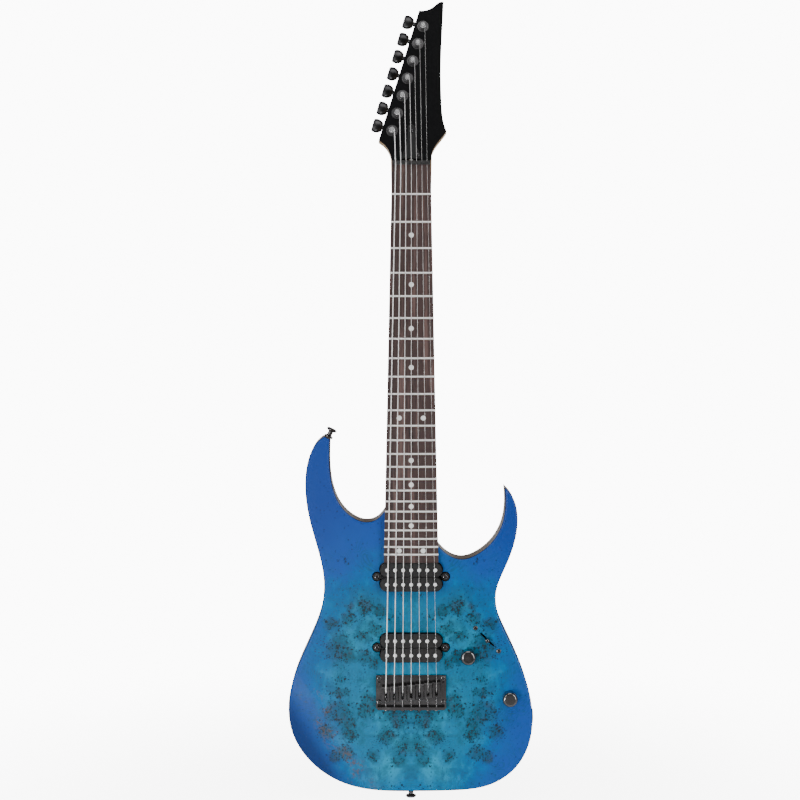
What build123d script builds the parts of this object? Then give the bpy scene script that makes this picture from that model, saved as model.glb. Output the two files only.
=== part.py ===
from build123d import *
import math
import os

# Seven-string electric guitar, in millimetres.
# The playing face looks along -Y and the neck runs up +Z. The origin is at the front edge of
# the nut, on the centre line, in the plane where the fretboard is glued to the neck.

# Strings and scale
scale_length = 648.0
fret_count = 24
string_gauges = [1.50, 1.17, 0.91, 0.66, 0.43, 0.33, 0.25]  # left to right, seen from the front
string_count = len(string_gauges)
nut_string_span = 39.0
saddle_pitch = 10.6
thin_compensation = 1.6
thick_compensation = 7.4
nut_action = 0.35  # string over the fret line at the nut
mid_action = 1.8  # string over the twelfth fret

# Neck and fretboard
nut_width = 48.0
last_fret_width = 68.0
board_thickness = 6.0
board_radius = 400.0
board_past_last_fret = 10.3
neck_depth_nut = 13.0  # wood behind the glue plane
neck_depth_heel = 15.5
heel_depth = 19.0
heel_length = 72.0
heel_ramp = 40.0
heel_short_of_board = 4.0
nut_depth = 5.0
nut_over_board = 2.4
fret_width = 2.4
fret_height = 1.1
tang_width = 0.6
tang_depth = 1.8
dot_radius = 3.15
dot_depth = 1.5
double_dot_offset = 15.0
side_dot_radius = 1.0

# Headstock
head_tilt = 13.0  # degrees
head_thickness = 14.5
veneer_thickness = 0.8
head_length = 205.4

# Body
body_width = 310.0
body_thickness = 42.0
top_thickness = 4.0
face_y = 3.0  # body face, behind the glue plane
front_round = 2.5
back_round = 6.0
arm_radius = 150.0  # the roll of the face under the forearm
arm_start = (-97.0, -53.0)  # where that roll starts, across and up from the scale line
belly_radius = 450.0
belly_depth = 20.0
channel_radius = 3.0  # holes for wires

# Tuners, spaced along the left edge of the headstock
first_tuner = (-23.9, 38.2)  # across, along the headstock from the nut
tuner_step = (6.43, 22.48)
post_radius = 3.0
post_waist_radius = 2.3
post_height = 9.4
wrap_start = 3.7  # lowest string turn, over the headstock face
bushing_radius = 5.0
washer_radius = 7.2
washer_thickness = 0.8
bushing_nut_flats = 10.0
bushing_nut_height = 2.2
worm_offset = 6.5
worm_radius = 1.8
worm_depth = 5.2  # worm axis behind the back of the headstock
housing_depth = 10.0
housing_radius = 7.6
housing_lid = 1.8
worm_wall = 2.6  # round the worm
worm_length = 20.0
ear_reach = 10.2  # from the post to the housing's screw
ear_thickness = 2.0
key_reach = 20.9  # from the post to the middle of the button
button_length = 12.5
button_width = 18.0
button_thickness = 9.0
wheel_teeth = 15
wheel_thickness = 3.6

# Pickups
pickup_length = 78.4
bobbin_width = 17.8
bobbin_pitch = 18.2
pickup_height = 20.0
pickup_top_y = -5.5
flange_thickness = 2.0
bobbin_core_width = 6.4
coil_width = 15.6
pole_radius = 2.4
pole_pitch = 10.07
pole_proud = 0.6
ear_offset = 43.0
ear_radius = 5.2
ear_top_y = 1.6
rout_gap = 1.0
rout_floor_y = 21.0
bridge_pickup_to_bridge = 43.2  # pickup centre to the scale line
pickup_board_gap = 0.6
pickup_travel = 2.5  # how far a pickup can be lowered
lead_radius = 0.9

# Bridge
plate_width = 88.6
plate_length = 43.0
plate_before_scale_line = 8.2  # front edge of the plate, up the neck from the scale line
plate_screw_inset = 3.9
rear_wall_thickness = 3.5
rear_wall_height = 8.0
rail_width = 2.4
rail_height = 4.2
saddle_gap = 0.3
saddle_length = 19.5
saddle_front = 2.0  # saddle face in front of the string's bearing point
saddle_front_wall = 3.5
saddle_rear_wall = 3.0
saddle_lift = 1.2
saddle_slot_width = 3.4
grub_radius = 1.0
intonation_radius = 1.2
intonation_y = -4.6
string_hole_setback = 13.5  # behind the scale line

# Controls, placed from the right-hand half of the body
knob_radius = 9.4
knob_height = 16.0
knob_lift = 0.6
knob_hollow_radius = 7.0
knob_hollow_depth = 5.0
shaft_radius = 3.0
pot_radius = 8.0
pot_depth = 9.0
pot_bushing_radius = 3.6
volume_place = (71.7, 32.1)  # across, up from the scale line
tone_place = (124.4, -21.0)
switch_place = (95.8, 53.0)
switch_screw_span = 41.4
switch_slot_length = 24.0
switch_slot_width = 2.4
lever_thickness = 1.2
lever_width = 4.0
lever_pivot_y = 24.0
lever_pin_radius = 1.4
switch_sheet = 1.2  # metal that the selector's frame is bent from
cavity_roof_y = 11.0
cover_thickness = 2.0
cover_ledge = 6.0
cover_gap = 0.2

# Jack, strap buttons and fasteners
jack_drop = 49.0  # below the scale line
jack_bore_radius = 3.25
jack_barrel_radius = 6.5
jack_flange_radius = 9.0
jack_flange_thickness = 1.6
jack_length = 32.0
jack_lug = 5.0
strap_button_height = 12.5
strap_button_radius = 6.6
small_screw_radius = 1.1
long_screw_radius = 1.75
machine_screw_radius = 1.5
bolt_radius = 2.4
bolt_ferrule_radius = 5.5
bolt_ferrule_depth = 3.0
bolt_head_radius = 4.2
bolt_head_height = 2.0
string_ferrule_radius = 4.0
string_ferrule_length = 9.0
string_hole_radius = 1.6
small_head_radius = 2.3
small_head_height = 1.4
ball_end_radius = 1.9
truss_radius = 3.0
truss_y = 6.0
truss_nut_radius = 3.6

# Clearances
slip = 0.1  # per side, between pieces that only stand beside each other
running = 0.05  # radial, for anything that turns or slides in a hole
guard = 0.3  # between moving pieces that never touch

# Worked out from the above
board_end_z = -scale_length * (1 - 2 ** (-fret_count / 12)) - board_past_last_fret
bridge_z = -scale_length
heel_end_z = board_end_z + heel_short_of_board
heel_top_z = heel_end_z + heel_length
back_y = face_y + body_thickness
core_y = face_y + top_thickness
pocket_y = heel_depth
half_body = body_width / 2
mid_body_y = face_y + body_thickness / 2
neck_pickup_z = board_end_z - pickup_board_gap - (bobbin_pitch + bobbin_width) / 2
bridge_pickup_z = bridge_z + bridge_pickup_to_bridge
plate_top_y = face_y - 3.0
string_hole_z = bridge_z - string_hole_setback
plate_front_z = bridge_z + plate_before_scale_line
plate_rear_z = plate_front_z - plate_length
last_fret_z = board_end_z + board_past_last_fret
jack_seat_x = half_body - 1.6
jack_z = bridge_z - jack_drop
lead_x = 26.0
lead_y = pickup_top_y + pickup_height + pickup_travel + lead_radius + 1.1
lead_entry_z = bridge_pickup_z - 10

os.makedirs("parts", exist_ok=True)


# Helpers


def front_plane(y):
    # a drawing plane facing the player: local x is X and local y is Z
    return Plane(origin=(0, y, 0), x_dir=(1, 0, 0), z_dir=(0, -1, 0))


def slab(sketch, y_front, y_back):
    # a flat drawing given its thickness between two depths
    return extrude(front_plane(y_back) * sketch, amount=y_back - y_front)


def peg(x, z, radius, y_front, y_back):
    return slab(Pos(x, z) * Circle(radius), y_front, y_back)


def bar(start, end, radius):
    # a round bar between two points in space
    axis = Vector(*end) - Vector(*start)
    return extrude(Plane(origin=start, z_dir=axis) * Circle(radius), amount=axis.length)


def block(x0, x1, y0, y1, z0, z1):
    return Pos((x0 + x1) / 2, (y0 + y1) / 2, (z0 + z1) / 2) * Box(x1 - x0, y1 - y0, z1 - z0)


def save(name, pieces):
    solids = []
    for piece in pieces:
        solids.extend(piece.solids())
    shape = solids[0] if len(solids) == 1 else Compound(children=solids)
    shape.label = name
    export_step(shape, f"parts/{name}.step")


def half_neck(z):
    # half the width of the fretboard at a height
    return (nut_width + (last_fret_width - nut_width) * z / last_fret_z) / 2


def across(x):
    # places drawn on a 310 mm wide body follow its real width
    return x * body_width / 310.0


def board_drop(x, radius=board_radius):
    # how far a curved surface has fallen away at a distance from the centre line
    return radius - math.sqrt(radius ** 2 - x ** 2)


def head_plane(height=0.0):
    tilt = math.radians(head_tilt)
    face = Plane(origin=(0, 0, nut_depth), x_dir=(1, 0, 0), z_dir=(0, -math.cos(tilt), math.sin(tilt)))
    return face.offset(height)


def head_point(across_head, along_head, height=0.0):
    return head_plane(height).from_local_coords((across_head, along_head, 0))


def fret_z(number):
    return -scale_length * (1 - 2 ** (-number / 12))


# Strings


def nut_x(index):
    return nut_string_span * (index / (string_count - 1) - 0.5)


def bridge_x(index):
    return saddle_pitch * (index - (string_count - 1) / 2)


def bearing_z(index):
    share = index / (string_count - 1)
    return bridge_z - thick_compensation + (thick_compensation - thin_compensation) * share


def string_points(index):
    # from the ball end behind the body, over the saddle and the nut, to the side of its post
    radius = string_gauges[index] / 2
    x_nut = nut_x(index)
    x_bridge = bridge_x(index)
    z_bearing = bearing_z(index)
    crown = board_thickness + fret_height
    y_nut = -(crown + nut_action + radius) + board_drop(x_nut)
    x_mid = x_nut + (x_bridge - x_nut) * 0.5
    y_mid = -(crown + mid_action + radius) + board_drop(x_mid)
    y_bearing = y_nut + (y_mid - y_nut) * (z_bearing / (bridge_z / 2))
    slope = (y_bearing - y_nut) / z_bearing
    lean = (x_bridge - x_nut) / z_bearing
    post_x, post_along = tuner_centre(index)
    turn_radius = post_waist_radius + radius
    reach = math.sqrt((post_waist_radius + 2 * radius) ** 2 - post_waist_radius ** 2) + guard
    arrive = head_point(post_x + turn_radius, post_along - reach, wrap_start + radius)
    return [
        (x_bridge, back_y - string_ferrule_length + 3.0, string_hole_z),
        (x_bridge, y_nut + slope * string_hole_z, string_hole_z),
        (x_nut + lean * z_bearing, y_bearing, z_bearing),
        (x_nut, y_nut, 0.6),
        arrive,
    ]


def tuner_centre(index):
    return (first_tuner[0] + tuner_step[0] * index, first_tuner[1] + tuner_step[1] * index)


def make_string(index):
    radius = string_gauges[index] / 2
    points = string_points(index)
    path = FilletPolyline(*points, radius=[3.0, 40.0, 4.0])
    start = Plane(origin=path @ 0, z_dir=path % 0)
    wire = sweep(start * Circle(radius), path=path)
    ball = Pos(*points[0]) * Sphere(ball_end_radius)
    return wire + ball


def make_wraps(index):
    # the turns of string round the post, one ring above another
    radius = string_gauges[index] / 2
    turns = 2 if index < 3 else 3
    centre = tuner_centre(index)
    rings = []
    for turn in range(turns):
        height = wrap_start + radius + turn * (2 * radius + 0.02)
        ring = Torus(post_waist_radius + radius, radius)
        rings.append(head_plane(height) * Pos(*centre) * ring)
    return rings


# Body outline, seen from the front. Upper points hang from the end of the fretboard and lower
# points from the scale line, so the body follows both.


def upper(x, rise):
    return (across(x), board_end_z + rise)


def lower(x, rise):
    return (across(x), bridge_z + rise)


def waist(x, share):
    # a point beside the pickups, placed by its share of the way from the bridge to the board's end
    return (across(x), bridge_z + share * (board_end_z - bridge_z))


def body_outline():
    left_joint = (-0.4 * last_fret_width, board_end_z + 72)
    right_joint = (0.4 * last_fret_width, board_end_z + 31)
    tip_inner = upper(-101.8, 154.5)
    tip_outer = upper(-109.0, 158.0)
    right_tip = upper(117.0, 94.5)
    left_cut = Spline(
        left_joint, upper(-33.7, 64), upper(-43, 54), upper(-57, 50.3), upper(-73.2, 56.2),
        upper(-86, 68), upper(-95.8, 86), upper(-101, 108), upper(-102.4, 130), tip_inner,
    )
    outer = Spline(
        tip_outer, upper(-117, 152), upper(-127, 135), upper(-133, 100), upper(-129, 59),
        upper(-117, 14), waist(-109.7, 0.816), waist(-112, 0.646), waist(-125, 0.396), lower(-145, 14),
        lower(-155, -32), lower(-150, -71), lower(-126, -108), lower(-86, -132.5),
        lower(-40, -140.8), lower(10, -141.6), lower(55, -140.6), lower(97, -134.5),
        lower(133, -111), lower(152, -70), lower(152.6, -32), waist(140, 0.105), waist(120, 0.402),
        waist(108, 0.607), waist(107.5, 0.758), waist(117, 0.927), upper(129.5, 22), upper(134, 53),
        upper(128, 81), right_tip,
    )
    right_cut = Spline(
        right_tip, upper(118, 71.7), upper(114.3, 48.6), upper(101, 24.5), upper(82, 9),
        upper(64, 3.3), upper(49, 7.5), upper(36.5, 18), right_joint,
    )
    edges = left_cut + Line(tip_inner, tip_outer) + outer + right_cut + Line(right_joint, left_joint)
    return make_face(edges)


def neck_outline(z_top, z_end, extra=0.0):
    top = half_neck(z_top) + extra
    end = half_neck(z_end) + extra
    return make_face(Polyline((-top, z_top), (top, z_top), (end, z_end), (-end, z_end), close=True))


def pickup_outline_rows(extra):
    row = SlotOverall(pickup_length + 2 * extra, bobbin_width + 2 * extra)
    return Pos(0, bobbin_pitch / 2) * row + Pos(0, -bobbin_pitch / 2) * row


def pickup_outline(extra):
    ear = Circle(ear_radius + extra)
    ends = Pos(-ear_offset, 0) * ear + Pos(ear_offset, 0) * ear
    middle = Rectangle(2 * ear_offset, 2 * (ear_radius - 1.4 + extra))
    core = Rectangle(pickup_length - bobbin_width, bobbin_pitch)
    return ends + middle + pickup_outline_rows(extra) + core


def cavity_outline():
    points = [
        (59, 62), (76, 81), (99, 81), (113, 52), (125, 30), (134, 4), (139, -24), (139, -66),
        (104, -66), (100, -36), (59, 4),
    ]
    face = make_face(Polyline(*[lower(x, rise) for x, rise in points], close=True))
    return fillet(face.vertices(), 7.0)


def arm_cut(depth):
    # what lies over the lower left edge of the face, which rolls away under the forearm
    x, z = lower(*arm_start)
    frame = Plane(origin=(x, face_y, z), x_dir=(-0.8, 0, -0.6), z_dir=(0.6, 0, -0.8))
    inset = 4.0
    rise = arm_radius - math.sqrt(arm_radius ** 2 - inset ** 2)
    beyond = Pos(60, 20) * Rectangle(120, 100)
    roll = Pos(-inset, arm_radius - rise) * Circle(arm_radius - depth)
    return extrude(frame * (beyond - roll), amount=220, both=True)


def belly_cut():
    # a very large ball that hollows the back edge, where the guitar meets the player's ribs
    centre_y = back_y - belly_depth + belly_radius
    return Pos(across(-200), centre_y, board_end_z - 30) * Sphere(belly_radius)


def switch_frame_plane(y):
    # drawing plane for the selector: local x runs along its slot
    plane = front_plane(y)
    spot = lower(*switch_place)
    return plane * Pos(*spot) * Rot(0, 0, -45)


def switch_screw_spots():
    reach = switch_screw_span / 2 * math.sqrt(0.5)
    x, z = lower(*switch_place)
    return [(x - reach, z + reach), (x + reach, z - reach)]


def pickup_screw_spots():
    spots = []
    for z in (neck_pickup_z, bridge_pickup_z):
        spots.append((-ear_offset, z))
        spots.append((ear_offset, z))
    return spots


def plate_screw_spots():
    x = plate_width / 2 - plate_screw_inset
    spots = []
    for z in (plate_front_z - plate_screw_inset, plate_rear_z + 2.2 * plate_screw_inset):
        spots.append((-x, z))
        spots.append((x, z))
    return spots


def bolt_spots():
    return [
        (-20.0, heel_end_z + 44), (-20.0, heel_end_z + 11),
        (20.0, heel_end_z + 11), (20.0, heel_end_z + 26),
    ]


def cover_screw_spots():
    points = [(66, 66), (103, 84), (143, -10), (139, -72), (56, 10)]
    return [lower(x - 1.0, rise * 0.99) for x, rise in points]


# Body pieces


def front_cutters():
    # everything that is cut into both the figured top and the core from the front
    cutters = [slab(neck_outline(heel_top_z + 40, heel_end_z, slip), face_y - 5, pocket_y)]
    for z in (neck_pickup_z, bridge_pickup_z):
        cutters.append(slab(Pos(0, z) * pickup_outline(rout_gap), face_y - 5, rout_floor_y))
    for place in (volume_place, tone_place):
        x, z = lower(*place)
        cutters.append(peg(x, z, pot_bushing_radius + slip, face_y - 1, cavity_roof_y + 1))
    slot = switch_frame_plane(cavity_roof_y + 1) * SlotOverall(switch_slot_length, switch_slot_width)
    cutters.append(extrude(slot, amount=cavity_roof_y - face_y + 4))
    for x, z in switch_screw_spots():
        cutters.append(peg(x, z, machine_screw_radius + slip, face_y - 1, cavity_roof_y + 1))
    for x, z in plate_screw_spots():
        cutters.append(peg(x, z, long_screw_radius, face_y - 1, face_y + 24))
    for index in range(string_count):
        cutters.append(peg(bridge_x(index), string_hole_z, string_hole_radius, face_y - 1, back_y + 1))
    return cutters


def rear_cutters():
    cavity = cavity_outline()
    cutters = [slab(cavity, cavity_roof_y, back_y + 1)]
    cutters.append(slab(offset(cavity, cover_ledge), back_y - cover_thickness, back_y + 1))
    ferrule_low_y = back_y - string_ferrule_length
    for index in range(string_count):
        x = bridge_x(index)
        cutters.append(peg(x, string_hole_z, string_ferrule_radius, ferrule_low_y, back_y + 1))
    for x, z in bolt_spots():
        cutters.append(peg(x, z, bolt_radius + slip, pocket_y - 1, back_y + 1))
        cutters.append(peg(x, z, bolt_ferrule_radius, back_y - bolt_ferrule_depth, back_y + 1))
    for x, z in cover_screw_spots():
        cutters.append(peg(x, z, small_screw_radius, back_y - 14, back_y + 1))
        cutters.append(peg(x, z, small_head_radius + slip, back_y - small_head_height, back_y + 1))
    for x, z in pickup_screw_spots():
        cutters.append(peg(x, z, machine_screw_radius, rout_floor_y - 1, rout_floor_y + 12))
    return cutters


def side_cutters():
    # jack bore, strap button pilots and wire channels
    inner = (jack_seat_x - jack_length, mid_body_y, jack_z)
    seat = (jack_seat_x, mid_body_y, jack_z)
    outside = (jack_seat_x + 9, mid_body_y, jack_z)
    between = (lead_x, lead_y, neck_pickup_z - 14), (lead_x, lead_y, bridge_pickup_z + 14)
    to_cavity = (lead_x, lead_y, lead_entry_z), (across(66), lead_y, lead_entry_z)
    cutters = [
        bar(inner, outside, jack_barrel_radius),
        bar(seat, outside, jack_flange_radius + slip),
        bar(*between, channel_radius),
        bar(*to_cavity, channel_radius),
    ]
    for base, direction in strap_places():
        start = Vector(*base)
        cutters.append(bar(base, start - Vector(*direction) * 24, long_screw_radius))
        cutters.append(bar(base, start + Vector(*direction) * 8, strap_button_radius))
    return cutters


def strap_places():
    lean = math.radians(26.0)
    x, z = upper(-104.6, 155.6)
    high = ((x, mid_body_y - 4, z), (math.sin(lean), 0, math.cos(lean)))
    low = ((0, mid_body_y, bridge_z - 141.4), (0, 0, -1))
    return [high, low]


def front_rim(whole):
    # the edges round the flat face and the forearm roll, without the line where the two meet
    flat = whole.faces().filter_by_position(Axis.Y, face_y - 0.01, face_y + 0.01)[0].edges()
    rolled = whole.faces().filter_by(GeomType.CYLINDER).sort_by(SortBy.AREA)[-1].edges()
    shared = [edge for edge in flat if any(edge.is_same(other) for other in rolled)]
    return [edge for edge in flat + rolled if not any(edge.is_same(other) for other in shared)]


def soften_front(whole):
    # a changed outline may leave the rim too little room, and then it takes half the round
    rim = front_rim(whole)
    try:
        return fillet(rim, front_round)
    except ValueError:
        return fillet(rim, front_round / 2)


def make_body():
    whole = slab(body_outline(), face_y, back_y) - arm_cut(0.0)
    whole = soften_front(whole)
    back_edges = whole.edges().filter_by_position(Axis.Y, back_y - 0.1, back_y + 0.1)
    whole = fillet(back_edges, back_round)
    whole = whole - belly_cut()
    below_top = slab(Rectangle(900, 2400), core_y, back_y + 10) - arm_cut(top_thickness)
    front = front_cutters()
    core = (whole & below_top) - front - rear_cutters() - side_cutters()
    top = (whole - below_top) - front
    return core, top


def make_control_cover():
    outline = offset(cavity_outline(), cover_ledge - cover_gap)
    cover = slab(outline, back_y - cover_thickness, back_y)
    for x, z in cover_screw_spots():
        cover -= peg(x, z, small_screw_radius + slip, back_y - 3, back_y + 1)
        cover -= peg(x, z, small_head_radius + slip, back_y - small_head_height, back_y + 1)
    return cover


# Neck pieces


def neck_section(half_width, depth, squareness):
    # the neck in cross-section: flat on the glue plane, rounded behind
    points = []
    steps = 12
    for step in range(steps + 1):
        angle = math.pi * step / steps
        x = -half_width * math.copysign(abs(math.cos(angle)) ** (2 / squareness), math.cos(angle))
        y = depth * abs(math.sin(angle)) ** (2 / squareness)
        points.append((x, y))
    return make_face(Spline(*points) + Line(points[-1], points[0]))


def section_at(z, half_width, depth, squareness):
    plane = Plane(origin=(0, 0, z), x_dir=(1, 0, 0), z_dir=(0, 0, 1))
    return plane * neck_section(half_width, depth, squareness)


def head_outline():
    half = nut_width / 2
    left_low = (-40.5, 25.9)
    left_high = (10.0, 194.2)
    tip = (40.7, head_length)
    right_low = (43.8, 38.2)
    left_curl = Spline((-half - 0.9, 3), (-half - 4.6, 14), (-half - 9.4, 20.6), left_low)
    crest = Spline(left_high, (19, 194.6), (28.2, 199.3), (36.0, head_length - 0.2), tip)
    right_edge = Spline(tip, (38.6, 164), (36.8, 110), (37.7, 73), (40.2, 49), right_low)
    right_curl = Spline(right_low, (35.4, 26.6), (half + 5.0, 17.6), (half + 0.9, 3))
    edges = left_curl + Line(left_low, left_high) + crest + right_edge + right_curl
    closing = Line((half + 0.9, 3), (-half - 0.9, 3))
    return make_face(edges + closing)


def head_root(end_along):
    # the short straight piece of headstock behind the nut
    half = nut_width / 2
    points = [(-half, 0), (half, 0), (half + 0.9, end_along), (-half - 0.9, end_along)]
    return make_face(Polyline(*points, close=True))


def make_neck():
    shaft_end_z = heel_top_z + heel_ramp
    depth_end = neck_depth_nut + (neck_depth_heel - neck_depth_nut) * shaft_end_z / heel_top_z
    shaft = loft([
        section_at(nut_depth, half_neck(0), neck_depth_nut, 2.35),
        section_at(shaft_end_z, half_neck(shaft_end_z), depth_end, 2.35),
    ], ruled=True)
    ramp = loft([
        section_at(shaft_end_z, half_neck(shaft_end_z), depth_end, 2.35),
        section_at(heel_top_z, half_neck(heel_top_z), heel_depth, 9.0),
    ], ruled=True)
    heel = slab(neck_outline(heel_top_z, heel_end_z), 0, heel_depth)
    root_end = 8.0
    root_place = head_plane(0.0) * Pos(0, root_end, 0) * Rot(-90, 0, 0)
    root_face = root_place * neck_section(nut_width / 2 + 1.6, head_thickness, 7.0)
    throat = loft([section_at(-34.0, half_neck(-34.0), neck_depth_nut + 0.1, 2.35), root_face], ruled=True)
    head = extrude(head_plane(-veneer_thickness) * head_outline(), amount=veneer_thickness - head_thickness)
    front_root = extrude(head_plane(-veneer_thickness) * head_root(root_end), amount=-6.0)
    keep = Pos(0, 200, 0) * Box(400, 400, 3000)
    neck = (shaft + ramp + heel + throat + head + front_root) & keep
    cut_front = extrude(head_plane(-veneer_thickness) * Rectangle(200, 600), amount=20)
    cut_front = cut_front & block(-200, 200, -100, 200, nut_depth, 400)
    neck -= cut_front
    neck -= truss_channel()
    for index in range(string_count):
        centre = tuner_centre(index)
        neck -= extrude(head_plane(1) * Pos(*centre) * Circle(bushing_radius), amount=-head_thickness - 4)
    holes = []
    for point, direction, length in small_screw_places()[:string_count + 2]:
        end = Vector(*point) - Vector(*direction) * length
        holes.append(bar(point, end, small_screw_radius))
    for x, z in bolt_spots():
        holes.append(peg(x, z, bolt_radius, 4.0, heel_depth + 1))
    return neck - holes


def truss_channel():
    rod = truss_radius + slip
    channel = block(-rod, rod, -1, truss_y, heel_end_z + 18, nut_depth)
    channel += bar((0, truss_y, heel_end_z + 18), (0, truss_y, nut_depth), rod)
    nut_room = truss_nut_radius + guard
    pocket = bar((0, truss_y, nut_depth), (0, truss_y, nut_depth + 24), nut_room)
    pocket += block(-nut_room, nut_room, -8, truss_y, nut_depth, nut_depth + 24)
    return channel + pocket


def make_head_veneer():
    face = head_outline() + head_root(4.0)
    veneer = extrude(head_plane(0) * face, amount=-veneer_thickness)
    veneer = veneer & block(-200, 200, -50, 200, nut_depth, 400)
    veneer -= truss_channel()
    for index in range(string_count):
        centre = tuner_centre(index)
        veneer -= extrude(head_plane(1) * Pos(*centre) * Circle(bushing_radius), amount=-3)
    for point, direction, length in small_screw_places()[string_count:string_count + 2]:
        end = Vector(*point) - Vector(*direction) * length
        veneer -= bar(point, end, small_screw_radius)
    return veneer


def board_cylinder(grow=0.0):
    # the curved playing surface, as a long cylinder whose axis lies behind the neck
    radius = board_radius + grow
    start = (0, board_radius - board_thickness, board_end_z - 40)
    end = (0, board_radius - board_thickness, 60)
    return bar(start, end, radius)


def swing(face, width):
    # a profile drawn on the centre line and swung to both sides about the board's axis
    axis_y = board_radius - board_thickness
    angle = math.degrees(width / board_radius)
    axis = Axis((0, axis_y, 0), (0, 0, 1))
    start = face.rotate(axis, -angle / 2)
    return revolve(start, axis, angle)


def fret_profile_plane(z):
    # local x runs up the neck and local y runs out of the board
    return Plane(origin=(0, -board_thickness, z), x_dir=(0, 0, 1), z_dir=(1, 0, 0))


def make_frets():
    frets = []
    for number in range(1, fret_count + 1):
        z = fret_z(number)
        half = fret_width / 2
        crown = ThreePointArc((half, 0), (0, fret_height), (-half, 0))
        tang = Polyline(
            (-half, 0), (-tang_width / 2, 0), (-tang_width / 2, -tang_depth),
            (tang_width / 2, -tang_depth), (tang_width / 2, 0), (half, 0),
        )
        face = fret_profile_plane(z) * make_face(crown + tang)
        frets.append(swing(face, 2 * half_neck(z)))
    return frets


def fret_slots():
    slots = []
    for number in range(1, fret_count + 1):
        z = fret_z(number)
        face = fret_profile_plane(z) * Rectangle(tang_width, 2 * tang_depth)
        slots.append(swing(face, 2 * half_neck(z) + 12))
    return slots


def dot_places():
    places = []
    for number in (3, 5, 7, 9, 15, 17, 19, 21):
        places.append((0.0, (fret_z(number) + fret_z(number - 1)) / 2))
    for number in (12, 24):
        z = (fret_z(number) + fret_z(number - 1)) / 2
        places.append((-double_dot_offset, z))
        places.append((double_dot_offset, z))
    return places


def side_dots(radius):
    dots = []
    for number in (3, 5, 7, 9, 12, 15, 17, 19, 21, 24):
        z = (fret_z(number) + fret_z(number - 1)) / 2
        share = 0.2 * (fret_z(number - 1) - fret_z(number))
        spread = [-share, share] if number in (12, 24) else [0.0]
        for shift in spread:
            x = half_neck(z + shift)
            dots.append(bar((-x, -2.6, z + shift), (-x + 2.0, -2.6, z + shift), radius))
    return dots


def dot_peg(x, z):
    return peg(x, z, dot_radius, -board_thickness - 1, dot_depth - board_thickness)


def make_fretboard():
    board = slab(neck_outline(0, board_end_z), -board_thickness, 0) & board_cylinder()
    holes = [dot_peg(x, z) for x, z in dot_places()]
    side_holes = [Pos(-0.5, 0, 0) * dot for dot in side_dots(side_dot_radius)]
    side_holes += side_dots(side_dot_radius)
    return board - fret_slots() - holes - side_holes


def make_dots():
    dots = []
    for x, z in dot_places():
        dots.append(dot_peg(x, z) & board_cylinder())
    for dot in side_dots(side_dot_radius):
        dots.append(dot & slab(neck_outline(0, board_end_z), -board_thickness, 0))
    return dots


def string_groove(start, end, radius):
    # the room a string needs in whatever it crosses: round below and open above
    direction = Vector(*end) - Vector(*start)
    plane = Plane(origin=start, x_dir=(1, 0, 0), z_dir=direction)
    round_part = extrude(plane * Circle(radius), amount=direction.length)
    open_part = extrude(plane * Pos(0, -5) * Rectangle(2 * radius, 10), amount=direction.length)
    return round_part + open_part


def make_nut():
    half = half_neck(0)
    nut = block(-half, half, -board_thickness - nut_over_board - 1, 0, 0, nut_depth)
    nut = nut & board_cylinder(nut_over_board)
    for index in range(string_count):
        radius = string_gauges[index] / 2 + running
        points = string_points(index)
        bearing, over_nut, arrive = (Vector(*point) for point in points[2:])
        before = over_nut + (bearing - over_nut).normalized() * 6
        after = over_nut + (arrive - over_nut).normalized() * 9
        nut -= string_groove(before, over_nut, radius)
        nut -= string_groove(over_nut, after, radius)
        nut -= Pos(*over_nut) * Sphere(radius)
    return nut


def cover_outline():
    # bell-shaped truss rod cover, drawn on the headstock
    left = Spline((-11.5, 1.6), (-10.6, 8.0), (-5.6, 22.0), (-4.4, 36.0), (-4.2, 42.0))
    crown = ThreePointArc((-4.2, 42.0), (0, 46.2), (4.2, 42.0))
    right = Spline((4.2, 42.0), (4.4, 36.0), (5.6, 22.0), (10.6, 8.0), (11.5, 1.6))
    return make_face(left + crown + right + Line((11.5, 1.6), (-11.5, 1.6)))


def make_truss_cover():
    cover = extrude(head_plane(0) * cover_outline(), amount=2.0)
    top_edges = cover.faces().sort_by(Axis.Y)[0].edges()
    cover = chamfer(top_edges, 0.7)
    for point, direction, length in small_screw_places()[string_count:string_count + 2]:
        start = Vector(*point) + Vector(*direction) * 3
        end = Vector(*point) - Vector(*direction) * length
        cover -= bar(start, end, small_screw_radius + slip)
    return cover


def make_truss_rod():
    return bar((0, truss_y, heel_end_z + 20), (0, truss_y, nut_depth - 1), truss_radius)


def make_truss_nut():
    nut = bar((0, truss_y, nut_depth), (0, truss_y, nut_depth + 9), truss_nut_radius)
    socket = Plane(origin=(0, truss_y, nut_depth + 5)) * RegularPolygon(2.3, 6)
    return nut - extrude(socket, amount=8)


# Screws


def small_screw_places():
    # head seat, outward direction and length: tuners first, then truss rod cover, then cavity cover
    places = []
    back_normal = head_plane(0).z_dir * -1
    front_normal = head_plane(0).z_dir
    for index in range(string_count):
        x, along = tuner_ear(index)
        seat = -head_thickness - ear_thickness
        places.append((head_point(x, along, seat), back_normal, 9.0))
    for along in (37.5, 6.5):
        places.append((head_point(0 if along > 20 else 8.0, along, 2.0), front_normal, 9.0))
    for x, z in cover_screw_spots():
        places.append(((x, back_y - small_head_height, z), (0, 1, 0), 11.0))
    return places


def cross_screw(seat, direction, length, shaft, head, head_height):
    # a domed screw with a cross recess, standing on its seat
    along = Plane(origin=seat, z_dir=direction)
    screw = along * Pos(0, 0, -length / 2) * Cylinder(shaft, length)
    dome = along * Pos(0, 0, head_height / 2) * Cylinder(head, head_height)
    dome = fillet(dome.edges().filter_by(GeomType.CIRCLE).sort_by_distance(seat)[-1], head_height * 0.6)
    recess = along * Pos(0, 0, head_height) * (Box(head * 1.1, 0.5, 1.2) + Box(0.5, head * 1.1, 1.2))
    return screw + dome - recess


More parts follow.
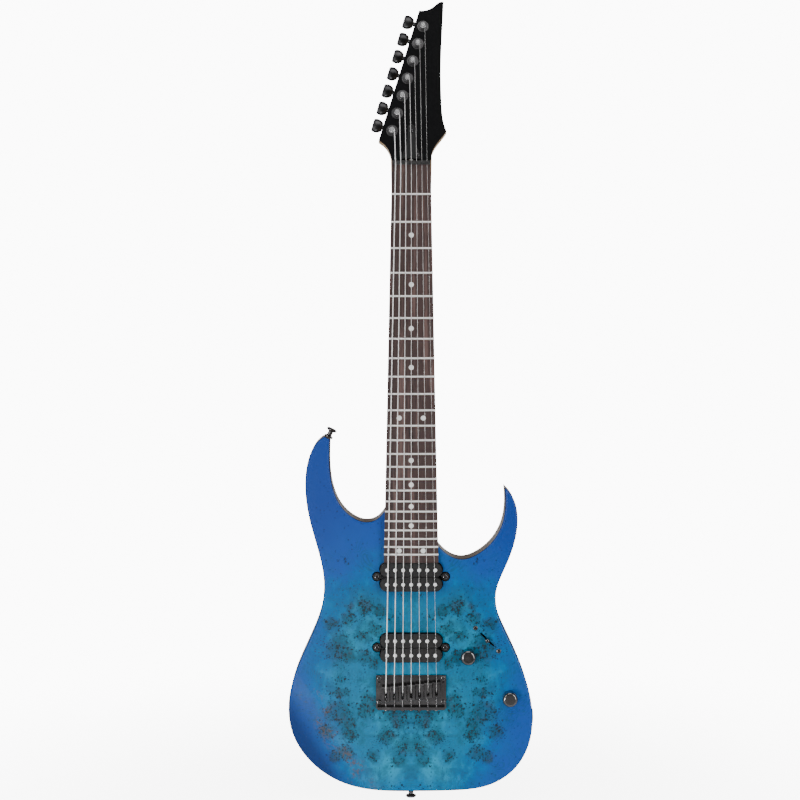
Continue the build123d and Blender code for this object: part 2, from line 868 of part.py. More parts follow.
def make_small_screws():
    return [
        cross_screw(point, direction, length, small_screw_radius, small_head_radius, small_head_height)
        for point, direction, length in small_screw_places()
    ]


def make_machine_screws():
    screws = []
    length = rout_floor_y + 10 - ear_top_y
    for x, z in pickup_screw_spots():
        seat = (x, ear_top_y - running, z)
        screws.append(cross_screw(seat, (0, -1, 0), length, machine_screw_radius, 3.1, 2.0))
    length = cavity_roof_y - face_y + 4
    for x, z in switch_screw_spots():
        seat = (x, face_y, z)
        screws.append(cross_screw(seat, (0, -1, 0), length, machine_screw_radius, 3.0, 1.8))
    return screws


def make_long_screws():
    screws = []
    for x, z in plate_screw_spots():
        seat = (x, plate_top_y, z)
        screws.append(cross_screw(seat, (0, -1, 0), 25.0, long_screw_radius, 3.2, 2.0))
    for base, direction in strap_places():
        seat = Vector(*base) + Vector(*direction) * (strap_button_height - 1.6)
        length = strap_button_height + 20
        screws.append(cross_screw(seat, direction, length, long_screw_radius, 3.2, 1.6))
    return screws


def make_bolts():
    bolts = []
    for x, z in bolt_spots():
        seat = (x, back_y - bolt_head_height, z)
        length = back_y - bolt_head_height - 6.6
        bolts.append(cross_screw(seat, (0, 1, 0), length, bolt_radius, bolt_head_radius, bolt_head_height))
    return bolts


def make_bolt_ferrules():
    rings = []
    for x, z in bolt_spots():
        ring = peg(x, z, bolt_ferrule_radius, back_y - bolt_ferrule_depth, back_y)
        ring -= peg(x, z, bolt_radius + slip, back_y - 5, back_y + 2)
        ring -= peg(x, z, bolt_head_radius + slip, back_y - bolt_head_height, back_y + 2)
        rings.append(ring)
    return rings


def make_string_ferrules():
    rings = []
    low_y = back_y - string_ferrule_length
    for index in range(string_count):
        x = bridge_x(index)
        ring = peg(x, string_hole_z, string_ferrule_radius, low_y, back_y)
        ring -= peg(x, string_hole_z, string_hole_radius, low_y - 1, back_y)
        ring -= peg(x, string_hole_z, ball_end_radius + 0.4, low_y + 1.0, back_y + 1)
        rings.append(ring)
    return rings


# Tuners


def edge_angle():
    # turns the drawing so that local x runs out of the headstock's left edge, along the worm
    return math.degrees(math.atan2(tuner_step[0], tuner_step[1]))


def tuner_frame(index, height):
    centre = tuner_centre(index)
    return head_plane(height) * Pos(*centre) * Rot(0, 0, 180 - edge_angle())


def tuner_ear(index):
    # where the housing is screwed down, on the side of the post away from the worm
    spot = tuner_frame(index, 0) * Pos(0, ear_reach, 0)
    local = head_plane(0).to_local_coords(spot.position)
    return local.X, local.Y


def make_housing(index):
    back = -head_thickness
    body = extrude(tuner_frame(index, back) * Circle(housing_radius), amount=-housing_depth)
    ear_outline = Pos(0, ear_reach) * Circle(3.2) + Pos(0, 6) * Rectangle(6.4, 8.4)
    ear = extrude(tuner_frame(index, back) * ear_outline, amount=-ear_thickness)
    worm_axis = tuner_frame(index, back - worm_depth) * Pos(0, -worm_offset, 0) * Rot(0, 90, 0)
    barrel = worm_axis * Pos(0, 0, 1.0) * Cylinder(worm_radius + worm_wall, worm_length)
    body = body + barrel + ear
    room_low = tuner_frame(index, back - worm_depth - wheel_thickness / 2 - guard)
    room = Circle(worm_offset - worm_radius - 0.1)
    body -= extrude(room_low * room, amount=wheel_thickness + 2 * guard)
    body -= worm_axis * Pos(0, 0, 4.0) * Cylinder(worm_radius + running, worm_length)
    post_hole = tuner_frame(index, back + 1) * Circle(post_radius + running)
    body -= extrude(post_hole, amount=housing_lid - housing_depth - 1)
    keep = extrude(tuner_frame(index, back) * Circle(40), amount=-20)
    body = body & keep
    ear_x, ear_along = tuner_ear(index)
    ear_front = head_point(ear_x, ear_along, back + 1)
    ear_back = head_point(ear_x, ear_along, back - ear_thickness - 1)
    return body - bar(ear_front, ear_back, small_screw_radius + slip)


def make_bushing(index):
    sleeve = extrude(tuner_frame(index, -head_thickness) * Circle(bushing_radius), amount=head_thickness)
    washer = extrude(tuner_frame(index, 0) * Circle(washer_radius), amount=washer_thickness)
    hexagon = RegularPolygon(bushing_nut_flats / 2, 6, major_radius=False)
    nut = extrude(tuner_frame(index, washer_thickness) * hexagon, amount=bushing_nut_height)
    bore = tuner_frame(index, -head_thickness - 1) * Circle(post_radius + running)
    return sleeve + washer + nut - extrude(bore, amount=head_thickness + 6)


def make_post(index):
    bottom = -head_thickness - housing_depth + housing_lid + running
    post = extrude(tuner_frame(index, bottom) * Circle(post_radius), amount=post_height - bottom)
    far_above = head_point(*tuner_centre(index), 60)
    post = chamfer(post.edges().filter_by(GeomType.CIRCLE).sort_by_distance(far_above)[0], 0.8)
    radius = string_gauges[index] / 2
    waist_top = post_height - 1.9
    waist_low = wrap_start - 0.2
    ring = Circle(post_radius + 1) - Circle(post_waist_radius)
    post -= extrude(tuner_frame(index, waist_low) * ring, amount=waist_top - waist_low)
    hole_spot = tuner_frame(index, waist_top - 1.2) * Rot(0, 90, 0)
    post -= hole_spot * Cylinder(0.9, 12)
    wheel_low = tuner_frame(index, -head_thickness - worm_depth - wheel_thickness / 2)
    wheel = extrude(wheel_low * wheel_outline(), amount=wheel_thickness)
    return [post + wheel] + make_wraps(index)


def wheel_outline():
    tip = worm_offset - worm_radius - guard
    root = tip - 0.7
    points = []
    for tooth in range(wheel_teeth):
        for share, radius in ((0.0, root), (0.3, tip), (0.55, tip), (0.85, root)):
            angle = 2 * math.pi * (tooth + share) / wheel_teeth
            points.append((radius * math.cos(angle), radius * math.sin(angle)))
    return make_face(Polyline(*points, close=True))


def make_key(index):
    back = -head_thickness
    worm_axis = tuner_frame(index, back - worm_depth) * Pos(0, -worm_offset, 0) * Rot(0, 90, 0)
    shaft = worm_axis * Pos(0, 0, (key_reach - 5.5) / 2) * Cylinder(worm_radius, key_reach + 5.5)
    collar = worm_axis * Pos(0, 0, key_reach - button_length / 2 - 1.3) * Cylinder(2.9, 2.6)
    low = Plane.XY.offset(-button_length / 2) * Ellipse(button_width * 0.30, button_thickness * 0.42)
    mid = Plane.XY.offset(button_length * 0.12) * Ellipse(button_width * 0.50, button_thickness * 0.50)
    high = Plane.XY.offset(button_length / 2) * Ellipse(button_width * 0.42, button_thickness * 0.36)
    button = loft([low, mid, high])
    button = fillet(button.faces().sort_by(Axis.Z)[-1].edges(), 1.4)
    button = worm_axis * Pos(0, 0, key_reach) * Rot(0, 0, 90) * button
    return shaft + collar + button


# Bridge


def make_plate():
    half = plate_width / 2
    plate = block(-half, half, plate_top_y, face_y, plate_rear_z, plate_front_z)
    upright = plate.edges().filter_by(Axis.Y)
    plate = fillet(upright, 1.5)
    wall = block(-half + 2, half - 2, plate_top_y - rear_wall_height, plate_top_y + 0.5,
                 plate_rear_z, plate_rear_z + rear_wall_thickness)
    plate += wall
    rail_x = half - plate_screw_inset
    rail_ends = [spot[1] for spot in plate_screw_spots()]
    for side in (-1, 1):
        x0 = side * rail_x - rail_width / 2
        plate += block(x0, x0 + rail_width, plate_top_y - rail_height, plate_top_y + 0.5,
                       min(rail_ends) + 5, max(rail_ends) - 5)
    for index in range(string_count):
        plate -= peg(bridge_x(index), string_hole_z, string_hole_radius, plate_top_y - 2, face_y + 1)
        start = (bridge_x(index), intonation_y, plate_rear_z - 1)
        end = (bridge_x(index), intonation_y, plate_rear_z + rear_wall_thickness + 1)
        plate -= bar(start, end, intonation_radius + slip)
    for x, z in plate_screw_spots():
        plate -= peg(x, z, long_screw_radius + slip, plate_top_y - 2, face_y + 1)
    return plate


def make_saddle(index):
    x = bridge_x(index)
    points = string_points(index)
    y_string = points[2][1]
    radius = string_gauges[index] / 2 + running
    half = (saddle_pitch - saddle_gap) / 2
    z_front = bearing_z(index) + saddle_front
    z_rear = z_front - saddle_length
    body = block(x - half, x + half, y_string, plate_top_y - saddle_lift, z_rear, z_front)
    top_edges = body.faces().sort_by(Axis.Y)[0].edges()
    body = chamfer(top_edges, 0.5)
    slot = block(x - saddle_slot_width / 2, x + saddle_slot_width / 2, -40, 10,
                 z_rear + saddle_rear_wall, z_front - saddle_front_wall)
    body -= slot
    front = (x, y_string, z_front + 2)
    rear = (x, y_string, z_rear - 2)
    body -= string_groove(front, rear, radius)
    body -= bar((x, intonation_y, z_rear - 1), (x, intonation_y, z_rear + saddle_rear_wall + 1),
                intonation_radius + running)
    grubs = []
    for side in (-1, 1):
        grub_x = x + side * (half - grub_radius - 0.7)
        grub_z = z_front - saddle_front_wall / 2
        body -= peg(grub_x, grub_z, grub_radius, -40, 10)
        grub = peg(grub_x, grub_z, grub_radius, y_string + 0.6, plate_top_y - running)
        socket = slab(Pos(grub_x, grub_z) * RegularPolygon(0.5, 6), y_string, y_string + 1.6)
        grubs.append(grub - socket)
    return [body] + grubs


def make_intonation_screws():
    screws = []
    for index in range(string_count):
        seat = (bridge_x(index), intonation_y, plate_rear_z)
        length = string_hole_z - 2.5 - plate_rear_z
        screws.append(cross_screw(seat, (0, 0, -1), length, intonation_radius, 2.4, 1.8))
    return screws


# Pickups


def pole_spots(z, row):
    return [(pole_pitch * (index - (string_count - 1) / 2), z + row * bobbin_pitch / 2)
            for index in range(string_count)]


def make_pickup(z):
    base_y = pickup_top_y + pickup_height
    bobbin_low = base_y - 5.0
    bobbins = []
    coils = []
    poles = []
    for row in (1, -1):
        spot = Pos(0, z + row * bobbin_pitch / 2)
        flange = SlotOverall(pickup_length, bobbin_width)
        core = SlotOverall(pickup_length - bobbin_width + bobbin_core_width, bobbin_core_width)
        winding = SlotOverall(pickup_length - bobbin_width + coil_width, coil_width)
        coil_top = pickup_top_y + flange_thickness
        coil_low = bobbin_low - flange_thickness
        bobbin = slab(spot * flange, pickup_top_y, coil_top)
        bobbin = chamfer(bobbin.faces().sort_by(Axis.Y)[0].edges(), 0.5)
        bobbin += slab(spot * core, coil_top, coil_low)
        bobbin += slab(spot * flange, coil_low, bobbin_low)
        for x, pole_z in pole_spots(z, row):
            bobbin -= peg(x, pole_z, pole_radius, pickup_top_y - 1, bobbin_low + 1)
            pole = peg(x, pole_z, pole_radius, pickup_top_y - pole_proud, bobbin_low)
            poles.append(fillet(pole.edges().filter_by(GeomType.CIRCLE).sort_by(Axis.Y)[0], 0.4))
        bobbins.append(bobbin)
        coils.append(slab(spot * (winding - core), coil_top, coil_low))
    plate = slab(Pos(0, z) * pickup_outline(-0.3), base_y - 1.6, base_y)
    for side in (-1, 1):
        x = side * ear_offset
        column = peg(x, z, ear_radius - 0.3, ear_top_y, base_y)
        column -= slab(Pos(0, z) * pickup_outline_rows(guard), ear_top_y - 1, base_y - 1.6)
        plate += column
        plate -= peg(x, z, machine_screw_radius + 0.25, ear_top_y - 1, base_y + 1)
    magnet = block(-32, 32, bobbin_low, base_y - 1.6, z - 5, z + 5)
    return bobbins, coils, poles, [plate, magnet]


# Controls


def make_knob(place):
    x, z = lower(*place)
    low_y = face_y - knob_lift
    top_y = low_y - knob_height
    knob = peg(x, z, knob_radius, top_y, low_y)
    rim = knob.edges().filter_by(GeomType.CIRCLE).sort_by(Axis.Y)
    knob = fillet(rim[0], 3.2)
    knob -= peg(x, z, knob_hollow_radius, low_y - knob_hollow_depth, low_y + 1)
    knob -= peg(x, z, shaft_radius, top_y + 4, low_y)
    shaft = peg(x, z, shaft_radius, top_y + 4, cavity_roof_y + 5)
    return [knob, shaft]


def make_pot(place):
    x, z = lower(*place)
    can = peg(x, z, pot_radius, cavity_roof_y, cavity_roof_y + pot_depth)
    bushing = peg(x, z, pot_bushing_radius, face_y - 3.0, cavity_roof_y)
    washer = peg(x, z, 5.6, face_y - 0.5, face_y)
    nut = slab(Pos(x, z) * RegularPolygon(5.0, 6, major_radius=False), face_y - 2.4, face_y - 0.5)
    lugs = block(x - 6.6, x + 6.6, cavity_roof_y + 1.0, cavity_roof_y + 1.8, z - pot_radius - 6, z)
    pot = can + bushing + washer + nut + lugs
    return pot - peg(x, z, shaft_radius + running, face_y - 6, cavity_roof_y + 5 + slip)


def make_switch_frame():
    lip_back = switch_frame_plane(cavity_roof_y + switch_sheet)
    frame = extrude(lip_back * Rectangle(switch_screw_span + 7, 9), amount=switch_sheet)
    slot = SlotOverall(switch_slot_length - 2, switch_slot_width + 0.6)
    frame -= extrude(switch_frame_plane(cavity_roof_y + 2) * slot, amount=4)
    cheek_back = switch_frame_plane(lever_pivot_y + 4)
    cheek_height = lever_pivot_y + 4 - cavity_roof_y - switch_sheet
    for side in (-1, 1):
        cheek = Pos(0, side * 3.4) * Rectangle(20, switch_sheet)
        frame += extrude(cheek_back * cheek, amount=cheek_height)
    frame += switch_frame_plane(lever_pivot_y) * Rot(90, 0, 0) * Cylinder(lever_pin_radius, 8.0)
    for x, z in switch_screw_spots():
        frame -= peg(x, z, machine_screw_radius, cavity_roof_y - 1, cavity_roof_y + 3)
    return frame


def make_lever():
    pivot = switch_frame_plane(lever_pivot_y)
    hub = pivot * Rot(90, 0, 0) * Cylinder(3.2, 3.0)
    blade_top = face_y - 4.0
    blade = extrude(switch_frame_plane(lever_pivot_y) * Rectangle(lever_width, lever_thickness),
                    amount=lever_pivot_y - blade_top)
    tip = switch_frame_plane(face_y - 2.2) * Pos(0, 0, 4.2) * Cylinder(2.6, 8.4)
    tip = fillet(tip.edges().filter_by(GeomType.CIRCLE).sort_by(Axis.Y)[0], 1.6)
    lever = hub + blade
    lever -= pivot * Rot(90, 0, 0) * Cylinder(lever_pin_radius + running, 8.0)
    seat = switch_frame_plane(face_y) * Rectangle(lever_width, lever_thickness)
    tip -= extrude(seat, amount=face_y - blade_top)
    return [lever, tip]


def make_jack():
    y = mid_body_y
    seat = (jack_seat_x, y, jack_z)
    inner_x = jack_seat_x - jack_length
    barrel = bar((inner_x, y, jack_z), seat, jack_barrel_radius - slip)
    flange = bar(seat, (jack_seat_x + jack_flange_thickness, y, jack_z), jack_flange_radius)
    lugs = block(inner_x - jack_lug, inner_x, y - 0.6, y + 0.6, jack_z - 3, jack_z + 3)
    bore = bar((inner_x + 1.5, y, jack_z), (jack_seat_x + 5, y, jack_z), jack_bore_radius)
    return barrel + flange + lugs - bore


def make_strap_button(base, direction):
    height = strap_button_height
    big = strap_button_radius
    profile = Polyline(
        (long_screw_radius + slip, 0), (big * 0.86, 0), (big * 0.86, 2.2), (big * 0.48, 3.6),
        (big * 0.48, height - 4.4), (big, height - 2.6), (big, height - 1.4), (big * 0.8, height),
        (3.3, height), (3.3, height - 1.6), (long_screw_radius + slip, height - 1.6), close=True,
    )
    face = Plane.XZ * make_face(profile)
    button = revolve(face, Axis.Z)
    return Plane(origin=base, z_dir=direction) * button


def make_wiring():
    # short leads: from both pickups through the wire channels, then between the controls
    volume = lower(*volume_place)
    tone = lower(*tone_place)
    switch = lower(*switch_place)
    back = cavity_roof_y + pot_depth
    jack_end = (jack_seat_x - jack_length - jack_lug, mid_body_y, jack_z)
    runs = [
        [(lead_x, lead_y, neck_pickup_z - 8), (lead_x, lead_y, bridge_pickup_z + 22)],
        [(lead_x + 10, lead_y, lead_entry_z), (volume[0] - 11.5, lead_y, lead_entry_z),
         (volume[0] - 9, 27, volume[1] + 9)],
        [(volume[0], back, volume[1] + 4), (volume[0], back + 8, volume[1] + 4),
         (switch[0] - 14, back + 8, switch[1] - 9)],
        [(volume[0] + 4, back, volume[1] - 4), (volume[0] + 4, back + 8, volume[1] - 4),
         (tone[0] - 4, back + 8, tone[1] + 4), (tone[0] - 4, back, tone[1] + 4)],
        [(tone[0], back, tone[1] - 4), (tone[0], back + 8, tone[1] - 4),
         (jack_end[0] - 7, mid_body_y, jack_end[2]), jack_end],
    ]
    wires = []
    for points in runs:
        path = Line(*points) if len(points) == 2 else FilletPolyline(*points, radius=3.0)
        wires.append(sweep(Plane(origin=path @ 0, z_dir=path % 0) * Circle(lead_radius), path=path))
    return wires


# Build every node

core, top = make_body()
save("body_core", [core])
save("body_top", [top])
save("control_cover", [make_control_cover()])
save("neck", [make_neck()])
save("headstock_face", [make_head_veneer()])
save("fretboard", [make_fretboard()])
save("frets", make_frets())
save("nut", [make_nut()])
save("position_markers", make_dots())
save("truss_rod", [make_truss_rod()])
save("truss_rod_nut", [make_truss_nut()])
save("truss_rod_cover", [make_truss_cover()])
save("small_wood_screws", make_small_screws())
save("machine_screws", make_machine_screws())
save("long_wood_screws", make_long_screws())
save("neck_bolts", make_bolts())
save("neck_ferrules", make_bolt_ferrules())
save("string_ferrules", make_string_ferrules())
save("strap_buttons", [make_strap_button(base, direction) for base, direction in strap_places()])
save("strings", [make_string(index) for index in range(string_count)])
save("tuner_housings", [make_housing(index) for index in range(string_count)])
save("tuner_bushings", [make_bushing(index) for index in range(string_count)])
save("bridge_plate", [make_plate()])
save("intonation_screws", make_intonation_screws())
for index in range(string_count):
    number = string_count - index
    save(f"tuner_post_{number}", make_post(index))
    save(f"tuner_key_{number}", [make_key(index)])
    save(f"saddle_{number}", make_saddle(index))
for label, pickup_z in (("neck", neck_pickup_z), ("bridge", bridge_pickup_z)):
    bobbins, coils, poles, base = make_pickup(pickup_z)
    save(f"{label}_pickup_bobbins", bobbins)
    save(f"{label}_pickup_coils", coils)
    save(f"{label}_pickup_poles", poles)
    save(f"{label}_pickup_base", base)
save("volume_knob", make_knob(volume_place))
save("tone_knob", make_knob(tone_place))
save("pot_housings", [make_pot(volume_place), make_pot(tone_place)])
save("switch_frame", [make_switch_frame()])
save("switch_lever", make_lever())
save("output_jack", [make_jack()])
save("wiring", make_wiring())
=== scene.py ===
import bpy
import bmesh
import math
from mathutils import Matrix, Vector


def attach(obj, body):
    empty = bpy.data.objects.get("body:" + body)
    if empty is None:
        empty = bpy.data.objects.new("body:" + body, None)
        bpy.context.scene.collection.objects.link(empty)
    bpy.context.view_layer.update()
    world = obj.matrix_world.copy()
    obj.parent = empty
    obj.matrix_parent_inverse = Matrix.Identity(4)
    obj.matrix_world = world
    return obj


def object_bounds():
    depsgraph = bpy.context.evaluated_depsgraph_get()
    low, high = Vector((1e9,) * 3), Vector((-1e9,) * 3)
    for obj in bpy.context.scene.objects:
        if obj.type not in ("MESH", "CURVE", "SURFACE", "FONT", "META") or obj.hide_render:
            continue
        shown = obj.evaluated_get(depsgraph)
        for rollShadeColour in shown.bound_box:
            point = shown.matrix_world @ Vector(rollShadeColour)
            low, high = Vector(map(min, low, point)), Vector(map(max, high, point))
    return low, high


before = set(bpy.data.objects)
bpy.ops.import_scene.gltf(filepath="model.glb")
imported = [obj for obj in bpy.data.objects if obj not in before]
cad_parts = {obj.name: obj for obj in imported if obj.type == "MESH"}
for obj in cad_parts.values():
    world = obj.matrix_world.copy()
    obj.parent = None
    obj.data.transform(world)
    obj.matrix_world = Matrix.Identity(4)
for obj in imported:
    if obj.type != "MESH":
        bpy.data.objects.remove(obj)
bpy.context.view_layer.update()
print("guitar frame loaded:", len(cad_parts), "nodes")


# small helpers for node trees

def newFinish(name):
    finish = bpy.data.materials.new(name)
    finish.use_nodes = True
    tree = finish.node_tree
    tree.nodes.clear()
    out = tree.nodes.new("ShaderNodeOutputMaterial")
    skin = tree.nodes.new("ShaderNodeBsdfPrincipled")
    tree.links.new(skin.outputs[0], out.inputs["Surface"])
    return finish, tree, skin


def addNode(tree, kind, settings=None, **inputs):
    # i0, i1 ... address sockets by number, other words by their label
    node = tree.nodes.new(kind)
    for key, value in (settings or {}).items():
        setattr(node, key, value)
    for key, value in inputs.items():
        socket = node.inputs[int(key[1:])] if key[0] == "i" and key[1:].isdigit() else node.inputs[key]
        if hasattr(value, "is_output"):
            tree.links.new(value, socket)
        else:
            socket.default_value = value
    return node


def calc(tree, operation, a, b=0.0, c=0.0):
    node = addNode(tree, "ShaderNodeMath", {"operation": operation}, i0=a, i1=b, i2=c)
    return node.outputs[0]


def fade(tree, value, low, high, outLow=0.0, outHigh=1.0):
    node = addNode(tree, "ShaderNodeMapRange", {"interpolation_type": "SMOOTHSTEP"},
                   i0=value, i1=low, i2=high, i3=outLow, i4=outHigh)
    return node.outputs[0]


def blendColour(tree, factor, first, second, mode="MIX"):
    node = tree.nodes.new("ShaderNodeMix")
    node.data_type = "RGBA"
    node.blend_type = mode
    for socket, value in ((node.inputs[0], factor), (node.inputs[6], first), (node.inputs[7], second)):
        if hasattr(value, "is_output"):
            tree.links.new(value, socket)
        else:
            socket.default_value = value
    return node.outputs[2]


def noise(tree, place, scale, detail=3.0, roughness=0.5, distortion=0.0):
    node = addNode(tree, "ShaderNodeTexNoise", None, Vector=place, Scale=scale, Detail=detail,
                   Roughness=roughness, Distortion=distortion)
    return node.outputs[0]


def times(tree, a, b):
    return calc(tree, "MULTIPLY", a, b)


def plus(tree, a, b):
    return calc(tree, "ADD", a, b)


def vectorCalc(tree, operation, a, b):
    return addNode(tree, "ShaderNodeVectorMath", {"operation": operation}, i0=a, i1=b).outputs[0]


def pushed(tree, place, scale, amount):
    # moves a place about by a little coloured noise, so that edges turn ragged
    wobble = addNode(tree, "ShaderNodeTexNoise", None, Vector=place, Scale=scale, Detail=2.0)
    level = vectorCalc(tree, "SUBTRACT", wobble.outputs["Color"], (0.5, 0.5, 0.5))
    push = addNode(tree, "ShaderNodeVectorMath", {"operation": "SCALE"}, i0=level, Scale=amount)
    return vectorCalc(tree, "ADD", place, push.outputs[0])


def stretched(tree, place, scale):
    return addNode(tree, "ShaderNodeMapping", None, Vector=place, Scale=scale).outputs[0]


def objectPlace(tree):
    return addNode(tree, "ShaderNodeTexCoord").outputs["Object"]


def relief(tree, skin, height, strength, distance):
    bump = addNode(tree, "ShaderNodeBump", None, Height=height, Strength=strength, Distance=distance)
    tree.links.new(bump.outputs[0], skin.inputs["Normal"])


def feed(tree, source, skin, socket):
    tree.links.new(source, skin.inputs[socket])


def useFinish(nodeName, finish):
    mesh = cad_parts[nodeName].data
    mesh.materials.clear()
    mesh.materials.append(finish)


# figured top: bookmatched burl under a transparent blue burst

topLook = {
    "centre": (0.0004, 0.150, 0.305, 1),
    "bright": (0.0006, 0.262, 0.440, 1),
    "teal": (0.0010, 0.108, 0.185, 1),
    "edge": (0.0008, 0.062, 0.320, 1),
    "deep": (0.0030, 0.043, 0.260, 1),
    # painted shade beyond the start of the forearm roll
    "rollShadeColour": (0.0060, 0.018, 0.095, 1),
    # painted shade on the rolled edge of the face
    "rim": (0.0080, 0.0100, 0.030, 1),
    "eye": (0.0035, 0.014, 0.018, 1),
    "smoke": (0.0080, 0.050, 0.070, 1),
    "line": (0.0030, 0.058, 0.110, 1),
    "plum": (0.0400, 0.034, 0.062, 1),
    "rust": (0.0800, 0.062, 0.064, 1),
    "burstCentreZ": -0.650,
    "burstReach": (0.150, 0.182),
    "rollFrom": (-0.130, -0.677),
    "rollAcross": (0.850, 0.526),
    "flakeScale": 250.0,
    "dotScale": 430.0,
    "knotScale": 115.0,
    "lineCount": 210.0,
    "burstPower": 2.6,
    "burstDrift": 0.55,
    "tealAmount": 0.80,
    "streakAmount": 0.45,
    "smokeAmount": 0.55,
    "ringAmount": 0.55,
    "dotAmount": 0.75,
    "flakeAmount": 0.92,
    "rollShadeAmount": 0.72,
    "rustAmount": 0.80,
    "roughness": 0.36,
    "shine": 0.24,
    "pitDepth": 0.0002,
}

# burl clusters of one leaf, which the other leaf mirrors:
# out from the seam, along the neck line, reach, squash
burls = [
    (0.059, -0.552, 0.012, 1.0), (0.077, -0.554, 0.006, 1.0), (0.080, -0.568, 0.010, 1.0),
    (0.101, -0.574, 0.008, 1.0), (0.039, -0.559, 0.008, 1.0), (0.045, -0.582, 0.010, 1.0),
    (0.057, -0.592, 0.008, 1.0), (0.090, -0.605, 0.017, 1.1), (0.079, -0.616, 0.010, 1.0),
    (0.059, -0.617, 0.010, 1.0), (0.047, -0.626, 0.007, 1.0), (0.090, -0.664, 0.012, 0.5),
    (0.093, -0.687, 0.016, 1.0), (0.081, -0.700, 0.011, 1.0), (0.056, -0.679, 0.010, 1.8),
    (0.009, -0.683, 0.008, 1.0), (0.026, -0.690, 0.009, 1.0), (0.0145, -0.700, 0.012, 1.0),
    (0.030, -0.718, 0.011, 1.0), (0.010, -0.733, 0.011, 1.0), (0.096, -0.744, 0.009, 1.0),
    (0.079, -0.716, 0.009, 1.0), (0.082, -0.738, 0.010, 1.0), (0.018, -0.752, 0.008, 1.0),
    (0.108, -0.712, 0.010, 1.0), (0.048, -0.744, 0.008, 1.0),
]


def burlField(tree, place):
    # one where a cluster of eyes is dense, falling to nought round it
    field = 0.0
    for out, along, reach, squash in burls:
        near = addNode(tree, "ShaderNodeMapping", {"vector_type": "TEXTURE"}, Vector=place,
                       Location=(out, 0.0, along), Scale=(reach, 1.0, reach * squash)).outputs[0]
        flat = vectorCalc(tree, "MULTIPLY", near, (1.0, 0.0, 1.0))
        size = addNode(tree, "ShaderNodeVectorMath", {"operation": "LENGTH"}, i0=flat).outputs["Value"]
        field = calc(tree, "MAXIMUM", field, fade(tree, size, 1.9, 0.3))
    return field


def topBurst(tree, x, z, mirrored):
    # how far out of the bright centre a spot lies, loosened by drifting clouds
    reachX, reachZ = topLook["burstReach"]
    outX = calc(tree, "DIVIDE", x, reachX)
    outZ = calc(tree, "DIVIDE", calc(tree, "SUBTRACT", z, topLook["burstCentreZ"]), reachZ)
    power = topLook["burstPower"]
    away = calc(tree, "SQRT", plus(tree, calc(tree, "POWER", calc(tree, "ABSOLUTE", outX), power),
                                   calc(tree, "POWER", calc(tree, "ABSOLUTE", outZ), power)))
    drift = noise(tree, mirrored, 13.0, 3.0)
    return plus(tree, away, times(tree, calc(tree, "SUBTRACT", drift, 0.5), topLook["burstDrift"]))


def eyeLayer(tree, place, scale, raggedScale, raggedness, spread, threshold):
    # ragged dark cells, kept only where the spread is high enough for their own random number
    ragged = pushed(tree, place, raggedScale, raggedness)
    cells = addNode(tree, "ShaderNodeTexVoronoi", None, Vector=ragged, Scale=scale)
    keep = addNode(tree, "ShaderNodeSeparateColor", None, Color=cells.outputs["Color"]).outputs[0]
    chosen = fade(tree, plus(tree, keep, spread), threshold, threshold + 0.12)
    return times(tree, fade(tree, cells.outputs["Distance"], 0.52, 0.24), chosen)


